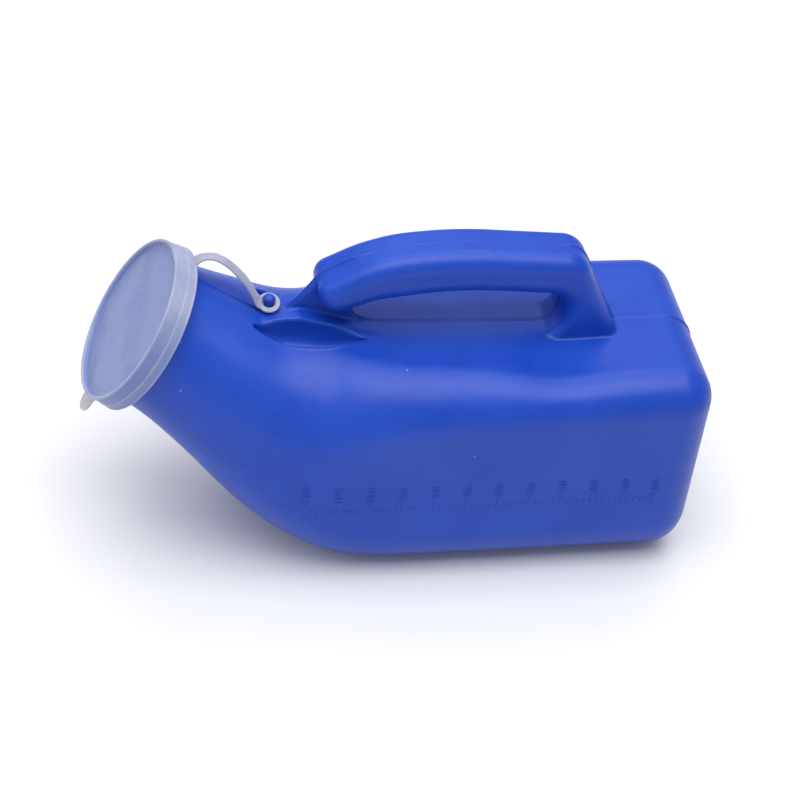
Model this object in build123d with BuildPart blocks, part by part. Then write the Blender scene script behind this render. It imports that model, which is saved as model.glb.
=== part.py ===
"""Male urine bottle lying on its flat side, with a tethered push-on cap.

The bottle is a thin blow-moulded shell: a squarish body, a shoulder that turns up into a round
neck, and a hollow grip that stands on the body and ends in a free nose over a pinched web. The cap
is moulded in one with its strap, eyelet and pull tab. Its strap arches over the neck to a peg.

Units are millimetres. +X points to the closed end, +Z is up, and Y = 0 is the mould's parting plane.
The origin is the centre of the footprint, on the surface that the bottle lies on.
"""
import os
from math import cos, radians, sin

from build123d import *

os.makedirs("parts", exist_ok=True)

# ---------------------------------------------------------------- body and shoulder
WALL = 1.3                      # blown wall
BASE_X = 120.5                  # outer face of the closed end
FRONT_X = -10.0                 # where the straight body meets the shoulder
FRONT_SIZE = (94.0, 95.4)       # width and height of the body at the shoulder
FRONT_RADII = (24.0, 24.8)      # of its upper and lower edges
BASE_SIZE = (91.8, 94.4)        # width and height of the body at the closed end
BASE_RADII = (14.5, 24.8)
END_RADIUS = 14.0
UNDERSIDE_CUT = 0.1             # sliced off the underside, to leave a true plane to lie on
PUSH_UP_DEPTH = 1.6             # shallow recess of the closed end
PUSH_UP_SIZE = 52.0
PUSH_UP_RADIUS = 12.0

# Sections of the shoulder: centre, degrees of lean, half width, reach above and below, edge radii
SHOULDER_STATIONS = (((-69.0, 77.7), 32.5, 36.0, 28.8, 31.5, (26.9, 26.9)),
                     ((-37.0, 54.0), 11.0, 45.2, 42.8, 42.5, (39.0, 28.0)),
                     ((-23.0, 49.4), 4.9, 46.7, 46.5, 46.5, (31.0, 26.0)))

# Flat saddle between the neck and the grip, with a pocket pressed in on each side of it
SADDLE_TOP = ((-52.0, 101.7), (-48.5, 102.6), (-38.5, 103.4), (-11.0, 95.4))
SADDLE_BOTTOM_Z = 88.0
RIDGE_Y = 8.0                   # half width of the saddle
POCKET_DEPTH = 4.6
POCKET_Y = 11.9                 # the pocket's middle line, on each side
POCKET_ENDS = ((-56.5, 0, 100.4), (-12.0, 0, 92.6))
POCKET_TAPER_LENGTH = 14.0
POCKET_TIP_RADIUS = 0.8

# ---------------------------------------------------------------- neck and cap
NECK_TILT = 32.5                # degrees above horizontal
CAP_FACE = (-102.7, 0.0, 99.2)  # centre of the cap's outer face
NECK_RADIUS = 28.8
NECK_FLAT = 0.4                 # width of the four flats where the shoulder starts
# Depths along the neck are measured from the cap's outer face
NECK_END = 12.0                 # where the round neck turns into the shoulder
MOUTH_DEPTH = 3.7               # where the neck's lip is
BEAD_RADIUS = 30.1              # bead round the mouth, which the cap grips
BEAD_DEPTHS = (4.7, 5.5, 6.5, 7.3)
CAP_CLOCKING = 7.0              # degrees that the cap is turned on the neck
# Half section of the lid, as radius and depth, from the centre of its recess round the skirt
LID_PROFILE = ((0, 2.0), (31.3, 2.0), (31.7, 0.2), (32.0, 0), (32.6, 0), (32.9, 0.3), (32.9, 5.2),
               (33.3, 5.5), (33.3, 8.3), (33.7, 8.5), (33.7, 9.1), (31.4, 9.1), (30.6, 8.5),
               (30.6, 7.9), (31.1, 7.3), (31.1, 3.3), (0, 3.3))
FLANGE_DEPTH = 5.6              # depth of the tab's outer face
FLANGE_THICKNESS = 1.3
TAB_WIDTH = 9.5
TAB_REACH = 43.0                # from the neck's axis to the tab's tip

# ---------------------------------------------------------------- grip and web
GRIP_HALF_WIDTH = 11.6
GRIP_EDGE_RADIUS = 6.0
GRIP_EDGE_HEIGHTS = (95.0, 200.0)   # edges between these heights are rounded
GRIP_FOOT_FRONT = (48.0, 94.0)  # both ends of the foot lie inside the body
GRIP_FOOT_REAR = (93.4, 80.0)
# Corners of the grip's side view and the radius at each, from the foot's front round the nose
GRIP_CORNERS = (((63.2, 94.0), 10.5), ((63.4, 112.1), 8.0), ((20.3, 115.5), 150.0),
                ((-9.5, 111.2), 30.0), ((-32.5, 102.5), 7.8), ((-32.4, 117.8), 6.2),
                ((-7.6, 131.2), 40.0), ((21.2, 133.8), 150.0), ((68.6, 129.6), 11.0))
WEB_THICKNESS = 3.2
WEB_OUTLINE = ((-42.4, 103.2), (-32.0, 116.3), (-24.0, 116.0), (-18.0, 112.0), (-19.4, 107.0),
               (-19.3, 103.0), (-16.8, 99.0), (-11.0, 95.6), (-11.0, 90.0), (-42.4, 90.0))

# ---------------------------------------------------------------- peg, eyelet and strap
PEG_X = -49.6
# Half section of the peg, as radius and height: a stem rooted in the saddle and a mushroom head
PEG_PROFILE = ((0, 98.0), (1.8, 98.0), (1.8, 106.6), (2.7, 106.8), (2.6, 107.6), (1.8, 108.4), (0, 108.7))
EYELET_CENTRE = (PEG_X, 0.0, 105.0)
EYELET_TILT = 12.0              # degrees that the loose eyelet leans to the -Y side
EYELET_RADIUS = 4.3
EYELET_HOLE_RADIUS = 2.3
EYELET_THICKNESS = 1.2
STRAP_WIDTH = 4.4
STRAP_THICKNESS = 1.2
STRAP_ROOT_DEPTH = 7.4
# Top of the strap as distance from its root towards the peg, and height
STRAP_ROUTE = ((3.6, 124.3), (6.8, 124.9), (12.2, 123.4), (18.9, 116.7), (23.9, 108.2))

# ---------------------------------------------------------------- raised volume marks
MARK_COUNT = 12                 # one long mark for each 100 ml
MARK_SPACING = 12.6
FIRST_MARK_X = 101.3            # 100 ml, nearest the closed end
MARK_LOW_Z = 36.5
MARK_LENGTH = 5.0
MARK_WIDTH = 0.7
MARK_HEIGHT = 0.35
MINOR_STEPS = 5                 # 20 ml steps in each 100 ml
MINOR_MARK_LENGTH = 3.0

# ---------------------------------------------------------------- frames
ACROSS = Vector(0, 1, 0)
AXIS_OUT = Vector(-cos(radians(NECK_TILT)), 0, sin(radians(NECK_TILT)))
NECK_UP = Vector(sin(radians(NECK_TILT)), 0, cos(radians(NECK_TILT)))
NECK_AXIS = Axis(CAP_FACE, AXIS_OUT)
SIDE_VIEW = Plane(origin=(0, 0, 0), x_dir=(1, 0, 0), z_dir=(0, -1, 0))
RADIAL_VIEW = Plane(origin=CAP_FACE, x_dir=NECK_UP, z_dir=(0, -1, 0))


def radial(clocking):
    """Unit vector off the neck's axis, turned from straight up."""
    return NECK_UP * cos(radians(clocking)) + ACROSS * sin(radians(clocking))


def on_neck(depth, radius=0.0, clocking=0.0):
    return Vector(*CAP_FACE) - AXIS_OUT * depth + radial(clocking) * radius


def section_plane(centre, lean=0.0):
    """Upright plane across the bottle, leaning back from the neck."""
    facing = (cos(radians(lean)), 0, -sin(radians(lean)))
    return Plane(origin=(centre[0], 0, centre[1]), x_dir=ACROSS, z_dir=facing)


# ---------------------------------------------------------------- solid forms, inset for the cavity
def rounded_section(plane, half_width, above, below, radii, inset):
    """Rectangle about the plane's origin, with one radius for its upper edges and one for its lower."""
    side, top, bottom = half_width - inset, above - inset, inset - below
    upper, lower = radii[0] - inset, radii[1] - inset
    with BuildSketch(plane) as section:
        with BuildLine():
            CenterArc((side - upper, top - upper), upper, 0, 90)
            Line((side - upper, top), (upper - side, top))
            CenterArc((upper - side, top - upper), upper, 90, 90)
            Line((-side, top - upper), (-side, bottom + lower))
            CenterArc((lower - side, bottom + lower), lower, 180, 90)
            Line((lower - side, bottom), (side - lower, bottom))
            CenterArc((side - lower, bottom + lower), lower, 270, 90)
            Line((side, bottom + lower), (side, top - upper))
        make_face()
    return section.sketch


def body_section(x, size, radii, inset, extra_below=0.0):
    width, height = size
    below = height / 2 + extra_below
    return rounded_section(section_plane((x, height / 2)), width / 2, height / 2, below, radii, inset)


def neck_section(inset):
    """Circle, but for four flats that match the sides of the next section."""
    centre = on_neck(NECK_END)
    corner = NECK_RADIUS - NECK_FLAT / 2
    return rounded_section(section_plane((centre.X, centre.Z), NECK_TILT), NECK_RADIUS, NECK_RADIUS,
                           NECK_RADIUS, (corner, corner), inset)


def body_form(inset):
    front = body_section(FRONT_X, FRONT_SIZE, FRONT_RADII, inset, UNDERSIDE_CUT)
    base = body_section(BASE_X - inset, BASE_SIZE, BASE_RADII, inset, UNDERSIDE_CUT)
    with BuildPart() as form:
        loft(sections=[front, base], ruled=True)
        end_face = form.faces().sort_by(Axis.X)[-1]
        fillet(end_face.edges(), END_RADIUS - inset)
        with BuildSketch(section_plane((BASE_X - PUSH_UP_DEPTH - inset, BASE_SIZE[1] / 2))):
            RectangleRounded(PUSH_UP_SIZE + 2 * inset, PUSH_UP_SIZE + 2 * inset, PUSH_UP_RADIUS + inset)
        extrude(amount=PUSH_UP_DEPTH, mode=Mode.SUBTRACT)
        if not inset:
            split(bisect_by=Plane.XY, keep=Keep.TOP)
    return form.part


def shoulder_form(inset):
    sections = [neck_section(inset)]
    for centre, lean, half_width, above, below, radii in SHOULDER_STATIONS:
        sections.append(rounded_section(section_plane(centre, lean), half_width, above, below, radii, inset))
    sections.append(body_section(FRONT_X, FRONT_SIZE, FRONT_RADII, inset))
    with BuildPart() as form:
        loft(sections=sections, ruled=True)
    return form.part


def saddle_form():
    with BuildPart() as form:
        with BuildSketch(SIDE_VIEW):
            with BuildLine():
                Polyline(*SADDLE_TOP, (SADDLE_TOP[-1][0], SADDLE_BOTTOM_Z),
                         (SADDLE_TOP[0][0], SADDLE_BOTTOM_Z), close=True)
            make_face()
        extrude(amount=RIDGE_Y, both=True)
    return form.part


def pocket_form(margin, side):
    """Tapered roller that presses the pocket in, beside the saddle and down the shoulder's sloping top."""
    front, rear = POCKET_ENDS
    run = Vector(*rear) - Vector(*front)
    start, direction = Vector(*front), run.normalized()
    depth, tip = POCKET_DEPTH + margin, POCKET_TIP_RADIUS + margin
    taper = POCKET_TAPER_LENGTH
    with BuildPart() as form:
        with BuildSketch(Plane(origin=start, x_dir=direction, z_dir=(0, -1, 0))):
            with BuildLine():
                Polyline((-margin, 0), (-margin, tip), (taper, depth), (run.length - taper, depth),
                         (run.length + margin, tip), (run.length + margin, 0), close=True)
            make_face()
        revolve(axis=Axis(start, direction))
    return Pos(0, side * POCKET_Y, 0) * form.part


def grip_form(inset):
    """Free nose, gently arched bar, leaning rear leg with a flared foot that ends inside the body."""
    corners = [point for point, _ in GRIP_CORNERS]
    radii = [radius for _, radius in GRIP_CORNERS]
    with BuildPart() as form:
        with BuildSketch(SIDE_VIEW):
            with BuildLine():
                FilletPolyline(GRIP_FOOT_FRONT, *corners, GRIP_FOOT_REAR, radius=radii)
                Polyline(GRIP_FOOT_REAR, (GRIP_FOOT_FRONT[0], GRIP_FOOT_REAR[1]), GRIP_FOOT_FRONT)
            make_face()
            if inset:
                offset(amount=-inset)
        extrude(amount=GRIP_HALF_WIDTH - inset, both=True)
        rims = form.faces().filter_by(Axis.Y).edges()
        fillet(rims.filter_by_position(Axis.Z, *GRIP_EDGE_HEIGHTS), GRIP_EDGE_RADIUS - inset)
    return form.part


body_solid = body_form(0)
grip_solid = grip_form(0)
grip_hollow = grip_form(WALL)

with BuildPart() as shoulder_cavity:
    add(shoulder_form(WALL))
    add(pocket_form(WALL, 1), mode=Mode.SUBTRACT)
    add(pocket_form(WALL, -1), mode=Mode.SUBTRACT)

with BuildPart() as shoulder_outside:
    add(shoulder_form(0))
    add(saddle_form())
    add(pocket_form(0, 1), mode=Mode.SUBTRACT)
    add(pocket_form(0, -1), mode=Mode.SUBTRACT)

# ---------------------------------------------------------------- bottle shell, in three lengths
with BuildPart() as neck_tube:
    with BuildSketch(RADIAL_VIEW):
        with BuildLine():
            Polyline((NECK_RADIUS, -NECK_END), (NECK_RADIUS, -BEAD_DEPTHS[3]),
                     (BEAD_RADIUS, -BEAD_DEPTHS[2]), (BEAD_RADIUS, -BEAD_DEPTHS[1]),
                     (NECK_RADIUS, -BEAD_DEPTHS[0]), (NECK_RADIUS, -MOUTH_DEPTH),
                     (NECK_RADIUS - WALL, -MOUTH_DEPTH), (NECK_RADIUS - WALL, -NECK_END), close=True)
        make_face()
    revolve(axis=NECK_AXIS)

with BuildPart() as shoulder_shell:
    add(shoulder_outside.part)
    add(shoulder_cavity.part, mode=Mode.SUBTRACT)

with BuildPart() as body_shell:
    add(body_solid)
    add(body_form(WALL), mode=Mode.SUBTRACT)
    add(grip_hollow, mode=Mode.SUBTRACT)

# ---------------------------------------------------------------- grip, web and peg
with BuildPart() as grip:
    add(grip_solid)
    add(grip_hollow, mode=Mode.SUBTRACT)
    add(body_solid, mode=Mode.SUBTRACT)

with BuildPart() as grip_web:
    with BuildSketch(SIDE_VIEW):
        with BuildLine():
            Polyline(*WEB_OUTLINE, close=True)
        make_face()
    extrude(amount=WEB_THICKNESS / 2, both=True)
    add(grip_solid, mode=Mode.SUBTRACT)
    add(shoulder_outside.part, mode=Mode.SUBTRACT)

with BuildPart() as strap_peg:
    with BuildSketch(SIDE_VIEW):
        with BuildLine():
            Polyline(*[(PEG_X + radius, height) for radius, height in PEG_PROFILE], close=True)
        make_face()
    revolve(axis=Axis((PEG_X, 0, 0), (0, 0, 1)))
    add(shoulder_outside.part, mode=Mode.SUBTRACT)

# ---------------------------------------------------------------- raised volume marks
with BuildPart() as volume_marks:
    for step in range((MARK_COUNT - 1) * MINOR_STEPS + 1):
        length = MINOR_MARK_LENGTH if step % MINOR_STEPS else MARK_LENGTH
        with BuildSketch(SIDE_VIEW):
            with Locations((FIRST_MARK_X - step * MARK_SPACING / MINOR_STEPS, MARK_LOW_Z + length / 2)):
                Rectangle(MARK_WIDTH, length)
        extrude(amount=FRONT_SIZE[0])
    add(body_form(-MARK_HEIGHT) + shoulder_form(-MARK_HEIGHT), mode=Mode.INTERSECT)
    add(body_solid + shoulder_form(0), mode=Mode.SUBTRACT)

# ---------------------------------------------------------------- cap moulding
with BuildPart() as cap_lid:
    with BuildSketch(RADIAL_VIEW):
        with BuildLine():
            Polyline(*[(radius, -depth) for radius, depth in LID_PROFILE], close=True)
        make_face()
    revolve(axis=NECK_AXIS)

with BuildPart() as pull_tab:
    with BuildSketch(Plane(origin=on_neck(FLANGE_DEPTH), x_dir=radial(CAP_CLOCKING + 180),
                           z_dir=AXIS_OUT * -1)):
        with Locations((TAB_REACH - TAB_WIDTH, 0)):
            SlotOverall(2 * TAB_WIDTH, TAB_WIDTH)
    extrude(amount=FLANGE_THICKNESS)
    add(cap_lid.part, mode=Mode.SUBTRACT)
    lid_inside = Cylinder(LID_PROFILE[4][0], 3 * FLANGE_THICKNESS, mode=Mode.PRIVATE)
    add(Plane(origin=on_neck(FLANGE_DEPTH), z_dir=AXIS_OUT) * lid_inside, mode=Mode.SUBTRACT)

eyelet_normal = Vector(0, -sin(radians(EYELET_TILT)), cos(radians(EYELET_TILT)))
EYELET_PLANE = Plane(origin=EYELET_CENTRE, x_dir=(1, 0, 0), z_dir=eyelet_normal)

with BuildPart() as strap_eyelet:
    with BuildSketch(EYELET_PLANE):
        Circle(EYELET_RADIUS)
        Circle(EYELET_HOLE_RADIUS, mode=Mode.SUBTRACT)
    extrude(amount=EYELET_THICKNESS / 2, both=True)

strap_root = on_neck(STRAP_ROOT_DEPTH, LID_PROFILE[7][0] - 1.0, CAP_CLOCKING)
strap_heading = Vector(EYELET_CENTRE[0] - strap_root.X, EYELET_CENTRE[1] - strap_root.Y, 0).normalized()
STRAP_VIEW = Plane(origin=(strap_root.X, strap_root.Y, 0), x_dir=strap_heading,
                   z_dir=strap_heading.cross(Vector(0, 0, 1)))

with BuildPart() as cap_strap:
    with BuildSketch(STRAP_VIEW):
        with BuildLine() as route:
            Spline((0, strap_root.Z), *STRAP_ROUTE)
        trace(line_width=STRAP_THICKNESS)
    extrude(amount=STRAP_WIDTH / 2, both=True)
    add(cap_lid.part, mode=Mode.SUBTRACT)
    eyelet_space = Cylinder(EYELET_RADIUS, 6 * EYELET_THICKNESS, mode=Mode.PRIVATE)
    add(EYELET_PLANE * eyelet_space, mode=Mode.SUBTRACT)

# ---------------------------------------------------------------- files
PIECES = {"neck_tube": neck_tube, "shoulder_shell": shoulder_shell, "body_shell": body_shell, "grip": grip,
          "grip_web": grip_web, "strap_peg": strap_peg, "volume_marks": volume_marks, "cap_lid": cap_lid,
          "pull_tab": pull_tab, "strap_eyelet": strap_eyelet, "cap_strap": cap_strap}
for name, piece in PIECES.items():
    piece.part.label = name
    export_step(piece.part, f"parts/{name}.step")
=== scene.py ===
"""Male urine bottle: the visible pieces, their materials, the light and the camera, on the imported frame.

Lengths are millimetres, as in the CAD part, until a mesh is made. X points to the closed end, Z is up.
"""
from math import cos, pi, radians, sin

import bpy
import numpy as np
from mathutils import Matrix, Vector


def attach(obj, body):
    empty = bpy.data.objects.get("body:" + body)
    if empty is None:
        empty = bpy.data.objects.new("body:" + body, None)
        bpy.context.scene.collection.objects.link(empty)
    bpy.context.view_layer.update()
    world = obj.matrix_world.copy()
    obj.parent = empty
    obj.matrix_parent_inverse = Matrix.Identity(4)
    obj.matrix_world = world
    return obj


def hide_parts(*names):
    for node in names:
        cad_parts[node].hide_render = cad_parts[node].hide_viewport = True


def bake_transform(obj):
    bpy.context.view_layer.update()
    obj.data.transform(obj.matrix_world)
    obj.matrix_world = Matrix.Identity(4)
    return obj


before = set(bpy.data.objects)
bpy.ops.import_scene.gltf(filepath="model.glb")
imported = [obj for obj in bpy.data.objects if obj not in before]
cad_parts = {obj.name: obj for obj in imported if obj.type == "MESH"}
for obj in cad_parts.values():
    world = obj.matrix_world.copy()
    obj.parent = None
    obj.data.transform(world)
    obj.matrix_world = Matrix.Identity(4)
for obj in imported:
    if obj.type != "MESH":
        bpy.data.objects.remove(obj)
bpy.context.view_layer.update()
MM = 0.001

# ------------------------------------------------------------------ the bottle's form, as in the CAD part
WALL = 1.3
BASE_X = 120.5
END_RADIUS = 14.0
BODY_MIDDLE_Z = 47.2
PUSH_UP_DEPTH, PUSH_UP_HALF, PUSH_UP_RADIUS = 1.6, 26.0, 12.0   # shallow recess in the closed end
NECK_TILT = radians(32.5)
CAP_FACE = (-102.7, 99.2)
NECK_RADIUS = 28.8
NECK_START, NECK_END = 0.0, 12.0
SKIN_CUT = 8.4                  # depth along the neck where the skin hands over to the neck's finish
MOUTH_DEPTH = 3.7
BEAD_RADIUS = 30.1
BEAD_DEPTHS = (4.7, 5.5, 6.5, 7.3)
CLOCKING = radians(7.0)         # the cap is turned this far round the neck

AXIS_OUT = np.array((-cos(NECK_TILT), 0.0, sin(NECK_TILT)))
NECK_UP = np.array((sin(NECK_TILT), 0.0, cos(NECK_TILT)))
ACROSS = np.array((0.0, 1.0, 0.0))
CAP_CENTRE = np.array((CAP_FACE[0], 0.0, CAP_FACE[1]))


def on_neck(depth, radius=0.0, turn=0.0):
    return CAP_CENTRE - AXIS_OUT * depth + (NECK_UP * cos(turn) + ACROSS * sin(turn)) * radius


def neck_station(depth):
    place = on_neck(depth)
    return (place[0], place[2], 32.5, NECK_RADIUS, NECK_RADIUS, NECK_RADIUS, NECK_RADIUS, NECK_RADIUS)


# Sections: centre x and z, lean, half width, reach above and below, upper and lower edge radii
STATIONS = np.array((
    neck_station(NECK_START), neck_station(NECK_END),
    (-69.0, 77.7, 32.5, 36.0, 28.8, 31.5, 28.4, 28.4),
    (-37.0, 54.0, 11.0, 45.2, 42.8, 42.5, 38.0, 28.0),
    (-23.0, 49.4, 4.9, 46.7, 46.5, 46.5, 30.0, 26.0),
    (-8.0, 47.7, 0.0, 47.0, 47.7, 47.7, 25.0, 24.8),
    (120.5, 47.2, 0.0, 45.9, 47.2, 47.2, 14.5, 24.8),
    (130.0, 47.2, 0.0, 45.8, 47.2, 47.2, 14.5, 24.8)))

SADDLE = ((-52.0, 101.7), (-48.5, 102.6), (-38.5, 103.4), (-12.0, 95.4), (-2.0, 92.0), (-2.0, 86.0),
          (-52.0, 86.0))
SADDLE_HALF, SADDLE_EDGE, SADDLE_FILLET = 8.0, 1.6, 2.6
POCKET_Y, POCKET_RADIUS, POCKET_TIP, POCKET_TAPER = 11.2, 3.8, 0.3, 15.0
POCKET_FLATTEN = 0.56           # share of its depth at which the pocket's section is as wide
POCKET_FRONT, POCKET_REAR = np.array((-58.0, 101.6)), np.array((-13.5, 94.6))
LIP_HEIGHT, LIP_OFFSET, LIP_WIDTH = 0.22, 0.9, 0.8   # raised bead round each pocket
POCKET_FILLET = 0.9
GRIP_HALF, GRIP_EDGE, GRIP_FOOT_EDGE, GRIP_FOOT_TOP, GRIP_FILLET = 11.6, 6.2, 4.4, 111.0, 1.1
GRIP_FOOT = ((93.4, 80.0), (44.0, 80.0), (44.0, 92.2))
GRIP_CORNERS = (((63.2, 94.0), 10.5), ((63.4, 112.1), 8.0), ((20.3, 115.5), 150.0), ((-9.5, 111.2), 30.0),
                ((-32.5, 102.5), 7.8), ((-32.4, 117.9), 6.2), ((-9.2, 130.4), 66.0), ((21.2, 133.2), 150.0),
                ((68.6, 129.6), 11.0))
WEB_HALF, WEB_EDGE, WEB_FILLET = 1.6, 0.9, 1.4
WEB = ((-42.4, 103.2), (-32.0, 116.3), (-24.0, 116.0), (-18.0, 112.0), (-19.4, 107.0), (-19.3, 103.0),
       (-16.8, 99.0), (-11.5, 95.2), (-11.5, 90.0), (-42.4, 90.0))
# The flat panels are slightly sunk: how deep, and over which length and width they fade out
SUNK_SIDE, SUNK_TOP = 0.75, 0.55
SUNK_FROM, SUNK_TO, SUNK_FADE = -22.0, 112.0, 45.0
SUNK_HALF, SUNK_SIDE_FADE, SUNK_SIDE_MIDDLE = 34.0, 30.0, 2.0
# Gentle dents and swells where the blown wall has warped as it cooled: place, length and depth
WARPS = (((60.0, -27.0, 96.0), 19.0, 3.4), ((14.0, -43.0, 82.0), 16.0, -0.5),
         ((92.0, -42.0, 86.0), 12.0, -0.3), ((30.0, 41.0, 88.0), 26.0, 0.9))
WARP_SPREAD = 15.0
SEAM_HEIGHT, SEAM_WIDTH, SEAM_STEP = 0.48, 0.42, 0.12
CROWN_X, CROWN_Z = (-16.0, 66.0), 122.0   # the seam is trimmed nearly flush along the grip's crown
NOSE_Z = 112.0                            # and it stands prouder on the grip's nose
CROWN_TRIM, NOSE_EXTRA = 0.9, 0.7
INSIDE_GRIP_FILLET, INSIDE_POCKET_FILLET = 3.2, 1.3
FORM_END_DEPTH = 6.0                      # the form stops this deep in the neck, past the hand-over


# ------------------------------------------------------------------ distance fields
def ease(t):
    """Smooth step from 0 to 1."""
    t = np.clip(t, 0, 1)
    return t * t * (3 - 2 * t)


def smooth_line(knots, values):
    """Monotone cubic through the values, as a function."""
    run = np.diff(knots)
    secant = np.diff(values) / run
    tangent = np.zeros(len(knots))
    tangent[0], tangent[-1] = secant[0], secant[-1]
    for i in range(1, len(knots) - 1):
        if secant[i - 1] * secant[i] > 0:
            first, second = 2 * run[i] + run[i - 1], run[i] + 2 * run[i - 1]
            tangent[i] = (first + second) / (first / secant[i - 1] + second / secant[i])

    def value(at):
        i = np.clip(np.searchsorted(knots, at) - 1, 0, len(run) - 1)
        u = (at - knots[i]) / run[i]
        rise = 3 * u ** 2 - 2 * u ** 3
        return (values[i] * (1 - rise) + values[i + 1] * rise
                + run[i] * (tangent[i] * u * (1 - u) ** 2 - tangent[i + 1] * u ** 2 * (1 - u)))
    return value


KNOTS = np.concatenate(([0.0], np.cumsum(np.hypot(*np.diff(STATIONS[:, :2], axis=0).T))))
NECK_KNOT, BODY_KNOT = KNOTS[1], KNOTS[5]


def gentle(line, spread=5.5, count=1200):
    """The same line with its bends eased over the shoulder; the neck and the body stay as they are."""
    at, step = np.linspace(0, KNOTS[-1], count, retstep=True)
    half = int(4 * spread / step)
    weight = np.exp(-(np.arange(-half, half + 1) * step / spread) ** 2 / 2)
    raw = line(at)
    soft = np.convolve(np.pad(raw, half, mode="edge"), weight / weight.sum(), mode="valid")
    values = raw + (soft - raw) * ease((at - NECK_KNOT) / 10) * ease((BODY_KNOT + 40 - at) / 20)
    return lambda where: np.interp(where, at, values)


SPINE_X, SPINE_Z, LEAN, HALF, ABOVE, BELOW, UPPER, LOWER = (
    gentle(smooth_line(KNOTS, row)) for row in STATIONS.T)
STEPS = np.linspace(0, KNOTS[-1], 150)
STEP_PLACES = [(SPINE_X(t), SPINE_Z(t), cos(radians(LEAN(t))), sin(radians(LEAN(t)))) for t in STEPS]


def along_spine(x, z):
    """Where each point's section is on the spine."""
    found = np.zeros(np.broadcast(x, z).shape)
    last = None
    for i, (cx, cz, c, s) in enumerate(STEP_PLACES):
        ahead = (x - cx) * c - (z - cz) * s
        if last is not None:
            here = (last >= 0) & (ahead < 0)
            share = last / np.where(here, last - ahead, 1.0)
            found = np.where(here, STEPS[i - 1] + share * (STEPS[i] - STEPS[i - 1]), found)
        last = ahead
    return np.where(last >= 0, STEPS[-1], found)


def rounded_box(a, b, radius):
    """Two distances joined by a rounded edge."""
    a, b = a + radius, b + radius
    return np.hypot(np.maximum(a, 0), np.maximum(b, 0)) + np.minimum(np.maximum(a, b), 0) - radius


def melt(a, b, reach):
    """Union of two fields with a fillet."""
    share = np.clip(0.5 + 0.5 * (b - a) / reach, 0, 1)
    return b + (a - b) * share - reach * share * (1 - share)


def carve(a, b, reach):
    """Field a less field b, with a softened edge."""
    return -melt(-a, b, reach)


def outline_distance(x, z, outline):
    """Signed distance to a closed outline in side view."""
    nearest = np.full(np.broadcast(x, z).shape, 1e9)
    within = np.zeros(nearest.shape, bool)
    for (ax, az), (bx, bz) in zip(outline, outline[1:] + outline[:1]):
        ex, ez = bx - ax, bz - az
        length = ex * ex + ez * ez
        if length < 1e-12:
            continue
        px, pz = x - ax, z - az
        share = np.clip((px * ex + pz * ez) / length, 0, 1)
        nearest = np.minimum(nearest, (px - ex * share) ** 2 + (pz - ez * share) ** 2)
        crosses = ((az <= z) & (bz > z)) | ((bz <= z) & (az > z))
        within ^= crosses & (px < ex * pz / (ez if ez else 1.0))
    return np.where(within, -1, 1) * np.sqrt(nearest)


def filleted(corners, before, after, pieces=14):
    """Outline with an arc of its own radius at each corner."""
    points = [np.array(p, float) for p in [before] + [c for c, _ in corners] + [after]]
    made = []
    for i, (_, radius) in enumerate(corners, start=1):
        back, here, on = points[i - 1], points[i], points[i + 1]
        u = (back - here) / np.linalg.norm(back - here)
        v = (on - here) / np.linalg.norm(on - here)
        half = np.arccos(np.clip(u @ v, -1, 1)) / 2
        middle = here + (u + v) / np.linalg.norm(u + v) * radius / np.sin(half)
        start = here + u * radius / np.tan(half) - middle
        end = here + v * radius / np.tan(half) - middle
        sweep = pi - 2 * half
        turn = np.sign(start[0] * end[1] - start[1] * end[0])
        for angle in np.linspace(0, sweep, pieces) * turn:
            c, s = cos(angle), sin(angle)
            made.append((middle[0] + c * start[0] - s * start[1],
                         middle[1] + s * start[0] + c * start[1]))
    return made


GRIP_OUTLINE = filleted(GRIP_CORNERS, GRIP_FOOT[2], GRIP_FOOT[0]) + list(GRIP_FOOT)


def neck_depth(x, z):
    """How deep each place is along the neck, from the cap's face."""
    return -((x - CAP_FACE[0]) * AXIS_OUT[0] + (z - CAP_FACE[1]) * AXIS_OUT[2])


def shell_field(x, y, z):
    """Body, shoulder and neck as one form, with its flat panels slightly sunk."""
    at = along_spine(x, z)
    lean = np.radians(LEAN(at))
    up = (x - SPINE_X(at)) * np.sin(lean) + (z - SPINE_Z(at)) * np.cos(lean)
    half, above, below = HALF(at), ABOVE(at), BELOW(at)
    upper, lower = UPPER(at), LOWER(at)
    along = ease((x - SUNK_FROM) / SUNK_FADE) * ease((SUNK_TO - x) / SUNK_FADE)
    sunk_side = SUNK_SIDE * along * ease((SUNK_HALF - np.abs(up - SUNK_SIDE_MIDDLE)) / SUNK_SIDE_FADE)
    sunk_top = SUNK_TOP * along * ease((SUNK_HALF - np.abs(y)) / SUNK_SIDE_FADE)
    high = up > 0
    radius = np.where(high, upper, lower)
    side = np.abs(y) - half + sunk_side
    top = np.where(high, up - above + sunk_top, -up - below)
    section = rounded_box(side, top, radius)
    for (wx, wy, wz), reach, depth in WARPS:
        section = section + depth * np.exp(-((x - wx) / reach) ** 2
                                           - ((y - wy) ** 2 + (z - wz) ** 2) / WARP_SPREAD ** 2)
    hollow = rounded_box(np.abs(y) - PUSH_UP_HALF, np.abs(z - BODY_MIDDLE_Z) - PUSH_UP_HALF, PUSH_UP_RADIUS)
    end = x - BASE_X + PUSH_UP_DEPTH * ease(0.5 - hollow / 3.0)
    return rounded_box(section, end, END_RADIUS)


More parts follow.
